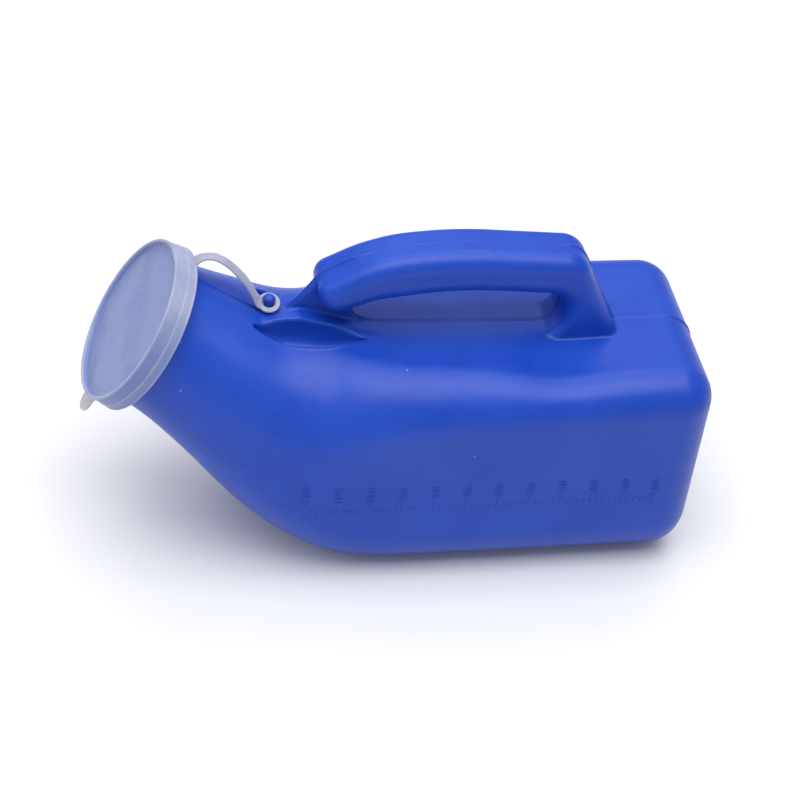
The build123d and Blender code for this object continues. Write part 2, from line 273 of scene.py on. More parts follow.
def pocket_field(x, y, z):
    """The pressed-in pocket on each side of the saddle: a flattened roller with pointed ends."""
    run = POCKET_REAR - POCKET_FRONT
    length = np.linalg.norm(run)
    run = run / length
    along = (x - POCKET_FRONT[0]) * run[0] + (z - POCKET_FRONT[1]) * run[1]
    off = (z - POCKET_FRONT[1]) * run[0] - (x - POCKET_FRONT[0]) * run[1]
    taper = np.clip(1 - np.minimum(along, length - along) / POCKET_TAPER, 0, 1.4)
    radius = POCKET_RADIUS - (POCKET_RADIUS - POCKET_TIP) * taper ** 1.6
    return np.hypot(np.abs(y) - POCKET_Y, off * POCKET_FLATTEN) - radius


def grip_field(x, y, z):
    """The grip, with tighter edges at its foot than along its bar."""
    foot = ease((x - 40) / 20) * ease((GRIP_FOOT_TOP - z) / 14)
    return rounded_box(outline_distance(x, z, GRIP_OUTLINE), np.abs(y) - GRIP_HALF,
                       GRIP_EDGE + (GRIP_FOOT_EDGE - GRIP_EDGE) * foot)


def outside(x, y, z):
    """The bottle's outer surface is where this is zero."""
    saddle = rounded_box(outline_distance(x, z, list(SADDLE)), np.abs(y) - SADDLE_HALF, SADDLE_EDGE)
    web = rounded_box(outline_distance(x, z, list(WEB)), np.abs(y) - WEB_HALF, WEB_EDGE)
    form = melt(shell_field(x, y, z), saddle, SADDLE_FILLET)
    pocket = pocket_field(x, y, z)
    lip = LIP_HEIGHT * np.exp(-((pocket - LIP_OFFSET) / LIP_WIDTH) ** 2)
    form = carve(form - lip, pocket, POCKET_FILLET)
    form = melt(melt(form, web, WEB_FILLET), grip_field(x, y, z), GRIP_FILLET)
    crown = ease((x - CROWN_X[0]) / 6) * ease((CROWN_X[1] - x) / 6) * ease((z - CROWN_Z) / 3)
    nose = ease((CROWN_X[0] - x) / 4) * ease((z - NOSE_Z) / 3)
    seam = ((1 - CROWN_TRIM * crown + NOSE_EXTRA * nose)
            * (SEAM_HEIGHT * np.exp(-(y / SEAM_WIDTH) ** 2) + SEAM_STEP * np.tanh(y / SEAM_WIDTH)))
    return np.maximum(np.maximum(form - seam, -z), FORM_END_DEPTH - neck_depth(x, z))


def inside(x, y, z):
    """The bottle's inner surface is where this is zero."""
    form = melt(shell_field(x, y, z), grip_field(x, y, z), INSIDE_GRIP_FILLET) + WALL
    form = carve(form, pocket_field(x, y, z) - WALL, INSIDE_POCKET_FILLET)
    return np.maximum(form, FORM_END_DEPTH - neck_depth(x, z))


# ------------------------------------------------------------------ surface from a field
FINE_CELL = 0.7                 # cell size round the pockets and the saddle
SKIN_CELL, INSIDE_CELL = 1.36, 2.6
SEAM_LEVELS = (0.12, 0.36, 0.62, 0.95, 1.5, 2.2)   # fine grid levels each side of the parting line
GRID_X, GRID_Z, GRID_Y = (-123.0, 123.0), (-2.03, 135.97), 51.0
FINE_X, FINE_Z, FINE_Y = (-59.0, -9.0), (88.0, 106.0), 20.0
SIDE_START = 3.0                # beyond this the levels are evenly spaced


def spaced(*runs):
    """Grid levels: each run starts at its own level, with its own cell, and the last item is the end."""
    starts = [run[0] for run in runs[:-1]] + [runs[-1]]
    made = [np.linspace(low, high, int(round((high - low) / run[1])), endpoint=False)
            for run, low, high in zip(runs, starts, starts[1:])]
    return np.concatenate(made + [np.array((runs[-1],))])


def surface_net(field, xs, ys, zs):
    """Quads round the field's zero surface, one point to each cell that it crosses."""
    values = np.concatenate([field(part[:, None, None], ys[None, :, None], zs[None, None, :])
                             for part in np.array_split(xs, 8)])
    below = values < 0
    grid = [xs, ys, zs]
    corners = [(i, j, k) for i in (0, 1) for j in (0, 1) for k in (0, 1)]
    nx, ny, nz = (n - 1 for n in below.shape)
    count = sum(below[i:nx + i, j:ny + j, k:nz + k].astype(int) for i, j, k in corners)
    cells = np.argwhere((count > 0) & (count < 8))
    index = np.full(count.shape, -1)
    index[tuple(cells.T)] = np.arange(len(cells))
    total, hits = np.zeros((len(cells), 3)), np.zeros((len(cells), 1))
    for a in corners:
        for axis in range(3):
            if a[axis]:
                continue
            b = list(a)
            b[axis] = 1
            ia, ib = cells + a, cells + b
            va, vb = values[tuple(ia.T)], values[tuple(ib.T)]
            crossed = (va < 0) != (vb < 0)
            share = np.where(crossed, va / np.where(crossed, va - vb, 1.0), 0)[:, None]
            pa = np.stack([grid[n][ia[:, n]] for n in range(3)], axis=1)
            pb = np.stack([grid[n][ib[:, n]] for n in range(3)], axis=1)
            total += np.where(crossed[:, None], pa + (pb - pa) * share, 0)
            hits += crossed[:, None]
    points = total / hits
    quads = []
    for axis in range(3):
        step = [0, 0, 0]
        step[axis] = 1
        u, v = [n for n in range(3) if n != axis]
        low = below[tuple(slice(0, below.shape[n] - step[n]) for n in range(3))]
        high = below[tuple(slice(step[n], below.shape[n]) for n in range(3))]
        edges = np.argwhere(low != high)
        keep = np.all([(edges[:, n] > 0) & (edges[:, n] < count.shape[n]) for n in (u, v)], axis=0)
        edges = edges[keep]
        ring = []
        for du, dv in ((0, 0), (1, 0), (1, 1), (0, 1)):
            cell = edges.copy()
            cell[:, u] -= du
            cell[:, v] -= dv
            ring.append(index[tuple(cell.T)])
        ring = np.stack(ring, axis=1)
        flip = low[tuple(edges.T)] != (axis == 1)
        ring[~flip] = ring[~flip][:, ::-1]
        quads.append(ring)
    return points, np.concatenate(quads)


def slope(field, points, step=0.25):
    """The field's gradient at each point."""
    made = np.zeros(points.shape)
    for axis in range(3):
        move = np.zeros(3)
        move[axis] = step
        made[:, axis] = (field(*(points + move).T) - field(*(points - move).T)) / (2 * step)
    return made


def settle(field, points, rounds=2):
    """Moves points onto the field's zero surface."""
    for _ in range(rounds):
        value, way = field(*points.T), slope(field, points)
        size = np.maximum((way ** 2).sum(1), 0.3)
        move = np.clip(value / size, -1.0, 1.0)
        points = points - way * move[:, None]
    return points


def relax(points, quads, free):
    """Evens out the net where it is free to move."""
    total, count = np.zeros(points.shape), np.zeros((len(points), 1))
    for n in range(4):
        a, b = quads[:, n], quads[:, (n + 1) % 4]
        np.add.at(total, a, points[b])
        np.add.at(total, b, points[a])
        np.add.at(count, a, 1)
        np.add.at(count, b, 1)
    mean = total / np.maximum(count, 1)
    return np.where(free[:, None], points * 0.4 + mean * 0.6, points)


def skin(field, cell, fine, radius):
    """Points, quads and normals of one surface of the bottle, open at the neck in a true circle."""
    if fine:
        xs = spaced((GRID_X[0], cell), (FINE_X[0], FINE_CELL), (FINE_X[1], cell), GRID_X[1])
        zs = spaced((GRID_Z[0], cell), (FINE_Z[0], FINE_CELL), (FINE_Z[1], cell), GRID_Z[1])
        side = spaced((SIDE_START, FINE_CELL), (FINE_Y, cell), GRID_Y)
        middle = np.array(SEAM_LEVELS)
    else:
        xs = spaced((GRID_X[0], cell), GRID_X[1])
        zs = spaced((GRID_Z[0], cell), GRID_Z[1])
        side = spaced((SIDE_START, cell), GRID_Y)
        middle = np.array((0.9,))
    ys = np.concatenate((-side[::-1], -middle[::-1], middle, side))
    points, quads = surface_net(field, xs, ys, zs)
    points = settle(field, points)
    for _ in range(2):
        free = (np.abs(points[:, 1]) > 3.5) & (points[:, 2] > 0.5)
        points = settle(field, relax(points, quads, free), 1)
    depth = neck_depth(points[:, 0], points[:, 2])
    quads = quads[(depth[quads] > SKIN_CUT).any(axis=1)]
    used = np.unique(quads)
    renumber = np.full(len(points), -1)
    renumber[used] = np.arange(len(used))
    points, quads, depth = points[used], renumber[quads], depth[used]
    normals = slope(field, points)
    normals /= np.linalg.norm(normals, axis=1)[:, None]
    rim = depth <= SKIN_CUT
    place = on_neck(SKIN_CUT)
    spoke = points[rim] - place
    spoke -= (spoke @ AXIS_OUT)[:, None] * AXIS_OUT
    spoke /= np.linalg.norm(spoke, axis=1)[:, None]
    points[rim] = place + spoke * radius
    normals[rim] = spoke
    return points, quads, normals


# ------------------------------------------------------------------ meshes
def add_piece(name, points, faces, material, normals=None, sharp=34.0):
    """A smooth-shaded mesh object from points in millimetres."""
    mesh = bpy.data.meshes.new(name)
    mesh.from_pydata((np.asarray(points) * MM).tolist(), [], [list(map(int, f)) for f in faces])
    mesh.polygons.foreach_set("use_smooth", np.ones(len(mesh.polygons), bool))
    if normals is not None:
        mesh.normals_split_custom_set_from_vertices(normals.tolist())
    elif sharp:
        mesh.set_sharp_from_angle(angle=radians(sharp))
    mesh.materials.append(material)
    made = bpy.data.objects.new(name, mesh)
    bpy.context.scene.collection.objects.link(made)
    return made


def soften(profile, cut, closed=False, pieces=4):
    """Rounds each corner of a profile by about the same small amount."""
    points = [np.array(p, float) for p in profile]
    made = [] if closed else [points[0]]
    order = range(len(points)) if closed else range(1, len(points) - 1)
    for i in order:
        back, here, on = points[i - 1], points[i], points[(i + 1) % len(points)]
        before, after = np.linalg.norm(back - here), np.linalg.norm(on - here)
        size = min(cut, 0.45 * before, 0.45 * after)
        start, end = here + (back - here) / before * size, here + (on - here) / after * size
        for t in np.linspace(0, 1, pieces):
            made.append(start * (1 - t) ** 2 + here * 2 * t * (1 - t) + end * t * t)
    return made if closed else made + [points[-1]]


def spin(profile, count, centre, axis, up):
    """Points and faces of a profile of (radius, along) turned round an axis."""
    side = np.cross(axis, up)
    points, rings = [], []
    for radius, along in profile:
        if radius < 1e-6:
            rings.append([len(points)] * count)
            points.append(centre + axis * along)
            continue
        rings.append(list(range(len(points), len(points) + count)))
        for n in range(count):
            angle = 2 * pi * n / count
            points.append(centre + axis * along + (up * cos(angle) + side * sin(angle)) * radius)
    faces = []
    for a, b in zip(rings, rings[1:]):
        for n in range(count):
            m = (n + 1) % count
            ring = [a[n], a[m], b[m], b[n]]
            face = [v for k, v in enumerate(ring) if v != ring[k - 1]]
            if len(face) > 2:
                faces.append(face)
    return np.array(points), faces


def curve_through(points, count):
    """Smooth curve through the points, evenly spaced."""
    points = np.array(points, float)
    knots = np.concatenate(([0.0], np.cumsum(np.linalg.norm(np.diff(points, axis=0), axis=1))))
    padded = np.vstack((2 * points[0] - points[1], points, 2 * points[-1] - points[-2]))
    made = []
    for t in np.linspace(0, knots[-1], count):
        i = min(int(np.searchsorted(knots, t, side="right")) - 1, len(points) - 2)
        u = (t - knots[i]) / (knots[i + 1] - knots[i])
        a, b, c, d = padded[i:i + 4]
        made.append(0.5 * (2 * b + (c - a) * u + (2 * a - 5 * b + 4 * c - d) * u ** 2
                           + (3 * b - a - 3 * c + d) * u ** 3))
    return np.array(made)


def rounded_bar(width, thickness, pieces=5):
    """Closed section of a strap with fully rounded edges, as (across, through)."""
    radius = thickness / 2
    made = []
    for sign, first in ((1, -pi / 2), (-1, pi / 2)):
        for angle in np.linspace(first, first + pi, pieces):
            made.append((sign * (width / 2 - radius) + cos(angle) * radius, sin(angle) * radius))
    return made


def swept(path, across, widths, thicknesses):
    """Points and faces of a strap along a path; across is the strap's width direction at each point."""
    points, faces = [], []
    count = 0
    for n, place in enumerate(path):
        ahead = path[min(n + 1, len(path) - 1)] - path[max(n - 1, 0)]
        ahead /= np.linalg.norm(ahead)
        wide = across[n] - ahead * (across[n] @ ahead)
        wide /= np.linalg.norm(wide)
        through = np.cross(ahead, wide)
        section = rounded_bar(widths[n], thicknesses[n])
        count = len(section)
        points += [place + wide * a + through * b for a, b in section]
    for n in range(len(path) - 1):
        for k in range(count):
            m = (k + 1) % count
            faces.append((n * count + k, n * count + m, (n + 1) * count + m, (n + 1) * count + k))
    faces.append(tuple(range(count))[::-1])
    faces.append(tuple((len(path) - 1) * count + k for k in range(count)))
    return np.array(points), faces


# ------------------------------------------------------------------ materials
def new_material(name):
    made = bpy.data.materials.new(name)
    made.use_nodes = True
    nodes = made.node_tree.nodes
    return made, nodes, made.node_tree.links, nodes["Principled BSDF"]


def noise(nodes, links, place, scale, detail=3.0, roughness=0.55, distortion=0.0):
    made = nodes.new("ShaderNodeTexNoise")
    made.inputs["Scale"].default_value = scale
    made.inputs["Detail"].default_value = detail
    made.inputs["Roughness"].default_value = roughness
    made.inputs["Distortion"].default_value = distortion
    links.new(place, made.inputs["Vector"])
    return made.outputs["Fac"]


def remap(nodes, links, value, low, high, to_low, to_high, smooth=False):
    made = nodes.new("ShaderNodeMapRange")
    made.interpolation_type = "SMOOTHSTEP" if smooth else "LINEAR"
    for socket, number in (("From Min", low), ("From Max", high), ("To Min", to_low), ("To Max", to_high)):
        made.inputs[socket].default_value = number
    links.new(value, made.inputs["Value"])
    return made.outputs["Result"]


MIX_A, MIX_B, MIX_RESULT = 6, 7, 2   # the colour sockets of a Mix node


def mix_colour(nodes, links, share, first, second):
    made = nodes.new("ShaderNodeMix")
    made.data_type = "RGBA"
    links.new(share, made.inputs["Factor"])
    for socket, colour in ((MIX_A, first), (MIX_B, second)):
        if isinstance(colour, tuple):
            made.inputs[socket].default_value = (*colour, 1)
        else:
            links.new(colour, made.inputs[socket])
    return made.outputs[MIX_RESULT]


def maths(nodes, links, kind, a, b):
    made = nodes.new("ShaderNodeMath")
    made.operation = kind
    for n, value in enumerate((a, b)):
        if isinstance(value, (int, float)):
            made.inputs[n].default_value = value
        else:
            links.new(value, made.inputs[n])
    return made.outputs[0]


def bump(nodes, links, height, distance, strength, under=None):
    made = nodes.new("ShaderNodeBump")
    made.inputs["Distance"].default_value = distance
    made.inputs["Strength"].default_value = strength
    links.new(height, made.inputs["Height"])
    if under:
        links.new(under, made.inputs["Normal"])
    return made.outputs["Normal"]


BLUE_DARK, BLUE_LIGHT, BLUE_FINE = (0.004, 0.045, 0.386), (0.007, 0.056, 0.430), (0.010, 0.060, 0.455)
BLUE_SPECK = (0.30, 0.42, 0.80)


def bottle_material():
    """Satin blue blow-moulded polyethylene: cloudy colour, orange peel, drag lines and stray specks."""
    made, nodes, links, shader = new_material("bottle_plastic_satin")
    place = nodes.new("ShaderNodeTexCoord").outputs["Object"]
    cloud = noise(nodes, links, place, 26.0, 4.0, 0.6, 0.6)
    colour = mix_colour(nodes, links, remap(nodes, links, cloud, 0.35, 0.65, 0, 1, True),
                        BLUE_DARK, BLUE_LIGHT)
    fine = noise(nodes, links, place, 520.0, 2.0)
    colour = mix_colour(nodes, links, remap(nodes, links, fine, 0.3, 0.7, 0, 0.35), colour, BLUE_FINE)
    cells = nodes.new("ShaderNodeTexVoronoi")
    cells.inputs["Scale"].default_value = 72.0
    links.new(place, cells.inputs["Vector"])
    near = remap(nodes, links, cells.outputs["Distance"], 0.020, 0.034, 1, 0)
    pick = nodes.new("ShaderNodeSeparateColor")
    links.new(cells.outputs["Color"], pick.inputs["Color"])
    chosen = maths(nodes, links, "GREATER_THAN", pick.outputs["Red"], 0.80)
    speck = maths(nodes, links, "MULTIPLY", maths(nodes, links, "MULTIPLY", near, chosen), 0.55)
    colour = mix_colour(nodes, links, speck, colour, BLUE_SPECK)
    links.new(colour, shader.inputs["Base Color"])

    stretched = nodes.new("ShaderNodeMapping")
    stretched.inputs["Scale"].default_value = (1.0, 6.0, 6.0)
    links.new(place, stretched.inputs["Vector"])
    drag = noise(nodes, links, stretched.outputs["Vector"], 55.0, 3.0, 0.6)
    links.new(remap(nodes, links, drag, 0.3, 0.7, 0.33, 0.41), shader.inputs["Roughness"])
    peel = bump(nodes, links, noise(nodes, links, place, 900.0, 2.0), 0.00006, 0.45)
    wave = bump(nodes, links, noise(nodes, links, place, 42.0, 2.0, 0.5), 0.0009, 0.22, peel)
    links.new(bump(nodes, links, drag, 0.00010, 0.30, wave), shader.inputs["Normal"])
    shader.inputs["IOR"].default_value = 1.52
    shader.inputs["Specular IOR Level"].default_value = 0.32
    return made


# How milky the lid's skirt is down its depth: thin edges are whiter than the walls over the blue neck
SKIRT_DEPTHS = (-0.002, 0.008)
SKIRT_BANDS = ((0.0, 0.95), (0.05, 0.9), (0.09, 0.12), (0.50, 0.05), (0.53, 0.8), (0.56, 0.8), (0.59, 0.22),
               (0.83, 0.18), (0.88, 0.85), (1.0, 0.9))
MOUTH_TINT_LOW, MOUTH_TINT_HIGH = (0.155, 0.201, 0.428), (0.188, 0.238, 0.457)
MOUTH_CLOUD, SKIRT_TINT = (0.212, 0.262, 0.477), (0.150, 0.200, 0.440)
LID_EDGE = (0.0303, 0.0311)       # radii between which the mouth's tint ends and the skirt's begins
SKIRT_TOP_PAINTED_SHEEN = (0.004, 0.033)        # painted sheen: the skirt's upper side is painted fully milky, standing in for the light falling on it from above; the milk itself is the plastic's own


def cap_material(name, milk, over_mouth=False):
    """Milky soft polyethylene, with the blue bottle faintly visible where it covers the mouth and, on the lid,
    a painted sheen on the skirt's upper side.
    """
    made, nodes, links, shader = new_material(name)
    place = nodes.new("ShaderNodeTexCoord").outputs["Object"]
    cloud = noise(nodes, links, place, 48.0, 4.0, 0.6, 1.6)
    milky = mix_colour(nodes, links, remap(nodes, links, cloud, 0.35, 0.65, 0, 1, True),
                       milk[0], milk[1])
    colour = milky
    if over_mouth:
        streaks = nodes.new("ShaderNodeTexWave")
        streaks.wave_type = "RINGS"
        streaks.inputs["Scale"].default_value = 9.0
        streaks.inputs["Distortion"].default_value = 9.0
        streaks.inputs["Detail"].default_value = 3.0
        streaks.inputs["Detail Scale"].default_value = 1.4
        links.new(place, streaks.inputs["Vector"])
        tint = mix_colour(nodes, links, remap(nodes, links, streaks.outputs["Fac"], 0.0, 0.45, 0, 1, True),
                          MOUTH_TINT_LOW, MOUTH_TINT_HIGH)
        tint = mix_colour(nodes, links, remap(nodes, links, cloud, 0.4, 0.7, 0, 0.6), tint, MOUTH_CLOUD)
        from_mouth = nodes.new("ShaderNodeVectorMath")
        from_mouth.operation = "SUBTRACT"
        from_mouth.inputs[1].default_value = tuple(on_neck(2.0) * MM)
        links.new(place, from_mouth.inputs[0])
        reach = nodes.new("ShaderNodeVectorMath")
        reach.operation = "LENGTH"
        links.new(from_mouth.outputs["Vector"], reach.inputs[0])
        off_axis = nodes.new("ShaderNodeVectorMath")
        off_axis.operation = "DOT_PRODUCT"
        off_axis.inputs[1].default_value = tuple(NECK_UP)
        links.new(from_mouth.outputs["Vector"], off_axis.inputs[0])
        # Painted sheen: the upper side of the skirt is painted milky, standing in for the light from above
        high = remap(nodes, links, off_axis.outputs["Value"], *SKIRT_TOP_PAINTED_SHEEN, 0, 1, True)
        depth = nodes.new("ShaderNodeVectorMath")
        depth.operation = "DOT_PRODUCT"
        depth.inputs[1].default_value = tuple(-AXIS_OUT)
        links.new(from_mouth.outputs["Vector"], depth.inputs[0])
        bands = nodes.new("ShaderNodeValToRGB")
        stops = bands.color_ramp.elements
        stops[0].position, stops[0].color = SKIRT_BANDS[0][0], (SKIRT_BANDS[0][1],) * 3 + (1,)
        stops[1].position, stops[1].color = SKIRT_BANDS[-1][0], (SKIRT_BANDS[-1][1],) * 3 + (1,)
        for position, value in SKIRT_BANDS[1:-1]:
            stops.new(position).color = (value, value, value, 1)
        links.new(remap(nodes, links, depth.outputs["Value"], *SKIRT_DEPTHS, 0, 1), bands.inputs["Fac"])
        # The skirt's milky share: its own bands, raised to full milk on the upper side by the painted sheen
        light = maths(nodes, links, "MAXIMUM", bands.outputs["Color"], high)
        skirt = mix_colour(nodes, links, light, SKIRT_TINT, milky)
        edge = remap(nodes, links, reach.outputs["Value"], *LID_EDGE, 0, 1, True)
        colour = mix_colour(nodes, links, edge, tint, skirt)
    links.new(colour, shader.inputs["Base Color"])
    links.new(remap(nodes, links, noise(nodes, links, place, 120.0), 0.3, 0.7, 0.34, 0.46),
              shader.inputs["Roughness"])
    wave = bump(nodes, links, noise(nodes, links, place, 60.0, 2.0), 0.0006, 0.20)
    links.new(bump(nodes, links, noise(nodes, links, place, 1100.0, 2.0), 0.00004, 0.4, wave),
              shader.inputs["Normal"])
    shader.inputs["IOR"].default_value = 1.51
    shader.inputs["Specular IOR Level"].default_value = 0.3
    shader.inputs["Subsurface Weight"].default_value = 0.35
    shader.inputs["Subsurface Radius"].default_value = (0.8, 0.9, 1.0)
    shader.inputs["Subsurface Scale"].default_value = 0.003
    return made


BLUE = bottle_material()
LID_MILK = cap_material("cap_plastic_milky_lid", ((0.268, 0.298, 0.448), (0.326, 0.350, 0.478)), True)
MILK = cap_material("cap_plastic_milky", ((0.292, 0.311, 0.412), (0.345, 0.356, 0.437)))
CLEAR_MILK = cap_material("cap_plastic_milky_tab", ((0.437, 0.431, 0.446), (0.494, 0.484, 0.489)))

# ------------------------------------------------------------------ bottle skin, inside and neck finish
points, quads, normals = skin(outside, SKIN_CELL, True, NECK_RADIUS)
bottle_skin = add_piece("bottle_skin", points, quads, BLUE, normals)
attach(bottle_skin, "bottle")
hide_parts("shoulder_shell", "body_shell", "grip", "grip_web")

points, quads, normals = skin(inside, INSIDE_CELL, False, NECK_RADIUS - WALL)
bottle_inside = add_piece("bottle_inner_skin", points, quads[:, ::-1], BLUE, -normals)
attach(bottle_inside, "bottle")

LIP = 0.25
finish_profile = [(NECK_RADIUS, SKIN_CUT), (NECK_RADIUS, BEAD_DEPTHS[3]), (BEAD_RADIUS, BEAD_DEPTHS[2]),
                  (BEAD_RADIUS, BEAD_DEPTHS[1]), (NECK_RADIUS, BEAD_DEPTHS[0]),
                  (NECK_RADIUS, MOUTH_DEPTH + LIP),
                  (NECK_RADIUS - LIP, MOUTH_DEPTH), (NECK_RADIUS - WALL + LIP, MOUTH_DEPTH),
                  (NECK_RADIUS - WALL, MOUTH_DEPTH + LIP), (NECK_RADIUS - WALL, SKIN_CUT)]
finish = [(r, -d) for r, d in soften(finish_profile, 0.35)]
points, faces = spin(finish, 144, CAP_CENTRE, AXIS_OUT, NECK_UP)
neck_finish = add_piece("neck_finish", points, faces, BLUE)
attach(neck_finish, "bottle")
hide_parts("neck_tube")

# ------------------------------------------------------------------ peg
ALONG, STRAIGHT_UP = np.array((1.0, 0.0, 0.0)), np.array((0.0, 0.0, 1.0))
PEG_X = -49.6
PEG_PROFILE = ((0, 108.7), (1.1, 108.6), (1.9, 108.1), (2.45, 107.3), (2.35, 106.9), (1.8, 106.6),
               (1.75, 103.4), (2.3, 102.5), (3.4, 101.6))
points, faces = spin(soften(PEG_PROFILE, 0.3), 48, np.array((PEG_X, 0.0, 0.0)), STRAIGHT_UP, ALONG)
peg = add_piece("strap_peg_moulded", points, faces, BLUE)
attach(peg, "bottle")
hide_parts("strap_peg")

# ------------------------------------------------------------------ raised ticks and numerals, laid on the side
MARK_COUNT, MARK_SPACING, FIRST_MARK_X, MARK_LOW_Z = 12, 12.6, 101.3, 36.5
MARK_LENGTH, MINOR_LENGTH, MARK_WIDTH, MINOR_STEPS = 5.0, 3.0, 0.75, 5
RAISED, SUNK = 0.09, 0.4
TICK_POINTS = 12                # round one tick's outline: half of them round each end
TICK_RINGS = ((0.22, -SUNK), (0.10, RAISED * 0.55), (-0.06, RAISED * 0.95), (-0.16, RAISED))   # grow, height
NUMERAL_HEIGHT, NUMERAL_LOW_Z, NUMERAL_WIDTH = 3.3, 43.2, 0.95
NUMERAL_EXTRUDE, NUMERAL_BEVEL = 0.5, 0.012
NUMERAL_FACE = NUMERAL_EXTRUDE + 0.004   # font points above this are on the front face


def side_surface(x, z):
    """Depth of the bottle's near side at each place in side view."""
    outer, inner = np.full(len(x), -52.0), np.full(len(x), -20.0)
    for _ in range(16):
        middle = (outer + inner) / 2
        out = shell_field(x, middle, z) > 0
        outer, inner = np.where(out, middle, outer), np.where(out, inner, middle)
    return outer


def laid_on_side(flat, heights):
    """Points of a side view (x, z) laid on the near side, each raised by its own height."""
    flat = np.array(flat)
    y = side_surface(flat[:, 0], flat[:, 1]) - np.array(heights)
    return np.stack([flat[:, 0], y, flat[:, 1]], axis=1)


flat, heights, faces = [], [], []
for step in range((MARK_COUNT - 1) * MINOR_STEPS + 1):
    length = MINOR_LENGTH if step % MINOR_STEPS else MARK_LENGTH
    x = FIRST_MARK_X - step * MARK_SPACING / MINOR_STEPS
    first = len(flat)
    for grow, height in TICK_RINGS:
        half, low, high = MARK_WIDTH / 2 + grow, MARK_LOW_Z - grow, MARK_LOW_Z + length + grow
        end = half * 0.9
        for turn in range(TICK_POINTS):
            swing = pi * (turn % (TICK_POINTS // 2)) / (TICK_POINTS // 2 - 1)
            if turn < TICK_POINTS // 2:
                flat.append((x + cos(swing) * half, high - end + sin(swing) * end))
            else:
                flat.append((x - cos(swing) * half, low + end - sin(swing) * end))
            heights.append(height)
    for n in range(len(TICK_RINGS) - 1):
        lower, upper = first + n * TICK_POINTS, first + (n + 1) * TICK_POINTS
        for k in range(TICK_POINTS):
            m = (k + 1) % TICK_POINTS
            faces.append((lower + k, lower + m, upper + m, upper + k))
    faces.append(tuple(first + (len(TICK_RINGS) - 1) * TICK_POINTS + k for k in range(TICK_POINTS)))

for mark in range(MARK_COUNT):
    letters = bpy.data.curves.new("numeral", "FONT")
    letters.body = str(100 * (mark + 1))
    letters.resolution_u = 4
    letters.extrude = NUMERAL_EXTRUDE
    letters.bevel_depth = NUMERAL_BEVEL
    letters.bevel_resolution = 1
    shape = bpy.data.objects.new("numeral", letters)
    bpy.context.scene.collection.objects.link(shape)
    graph = bpy.context.evaluated_depsgraph_get()
    mesh = bpy.data.meshes.new_from_object(shape.evaluated_get(graph))
    corners = np.array([v.co for v in mesh.vertices])
    scale = NUMERAL_HEIGHT / np.ptp(corners[:, 1])
    first = len(flat)
    middle = corners[:, 1].min() + np.ptp(corners[:, 1]) / 2
    for across, up, through in corners:
        flat.append((FIRST_MARK_X - mark * MARK_SPACING - (up - middle) * scale,
                     NUMERAL_LOW_Z + (across - corners[:, 0].min()) * scale * NUMERAL_WIDTH))
        heights.append(RAISED * 0.9 if through > NUMERAL_FACE else RAISED * 0.7 if through > 0 else -SUNK)
    faces += [tuple(first + v for v in face.vertices) for face in mesh.polygons]
    bpy.data.objects.remove(shape)
    bpy.data.curves.remove(letters)
    bpy.data.meshes.remove(mesh)
scale_marks = add_piece("volume_scale_raised", laid_on_side(flat, heights), faces, BLUE,
                        sharp=40)
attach(scale_marks, "bottle")
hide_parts("volume_marks")

# ------------------------------------------------------------------ cap: lid and pull tab
CREASE_RADIUS = 29.3
LID_PROFILE = ((0, 2.15), (12, 2.08), (24, 2.0), (CREASE_RADIUS - 0.35, 2.0), (CREASE_RADIUS, 2.14),
               (CREASE_RADIUS + 0.35, 1.98), (31.15, 1.95), (31.55, 0.25), (31.85, 0), (32.55, 0),
               (32.85, 0.35), (32.9, 5.15), (33.3, 5.5), (33.3, 8.2), (33.65, 8.45), (33.65, 9.1),
               (31.4, 9.1), (30.6, 8.5), (30.6, 7.9), (31.1, 7.3), (31.1, 3.3), (0, 3.3))
turned = [(r, -d) for r, d in soften(LID_PROFILE, 0.28)]
points, faces = spin(turned, 160, CAP_CENTRE, AXIS_OUT, NECK_UP)
lid = add_piece("cap_lid_milky", points, faces, LID_MILK)
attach(lid, "cap")
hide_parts("cap_lid")

TAB_HALF, TAB_TIP, TAB_ROOT = 4.75, 43.0, 32.0
TAB_DEPTH, TAB_THICKNESS, TAB_EDGE, TAB_INSET = 5.6, 1.3, 0.12, 0.55
outline = [(TAB_ROOT, TAB_HALF + 2.6), (33.2, TAB_HALF + 1.5), (34.4, TAB_HALF + 0.5), (36.0, TAB_HALF)]
outline += [(TAB_TIP - TAB_HALF + sin(a) * TAB_HALF, cos(a) * TAB_HALF) for a in np.linspace(0, pi, 15)]
outline += [(r, -w) for r, w in outline[3::-1]]
centre = np.mean(outline, axis=0)
points, faces = [], []
tab_out = NECK_UP * cos(CLOCKING + pi) + ACROSS * sin(CLOCKING + pi)
tab_side = np.cross(AXIS_OUT, tab_out)
rings = ((TAB_INSET, 0.0), (TAB_EDGE, 0.0), (0.0, TAB_EDGE), (0.0, TAB_THICKNESS - TAB_EDGE),
         (TAB_EDGE, TAB_THICKNESS), (TAB_INSET, TAB_THICKNESS))
for inset, depth in rings:
    for reach, side in outline:
        way = np.array((reach, side)) - centre
        reach, side = np.array((reach, side)) - way / np.linalg.norm(way) * inset
        points.append(on_neck(TAB_DEPTH + depth) + tab_out * reach + tab_side * side)
size = len(outline)
for n in range(len(rings) - 1):
    for k in range(size):
        m = (k + 1) % size
        faces.append((n * size + k, n * size + m, (n + 1) * size + m, (n + 1) * size + k))
faces.append(tuple(range(size))[::-1])
faces.append(tuple((len(rings) - 1) * size + k for k in range(size)))
tab = add_piece("pull_tab_rounded", points, faces, CLEAR_MILK)
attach(tab, "cap")
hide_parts("pull_tab")

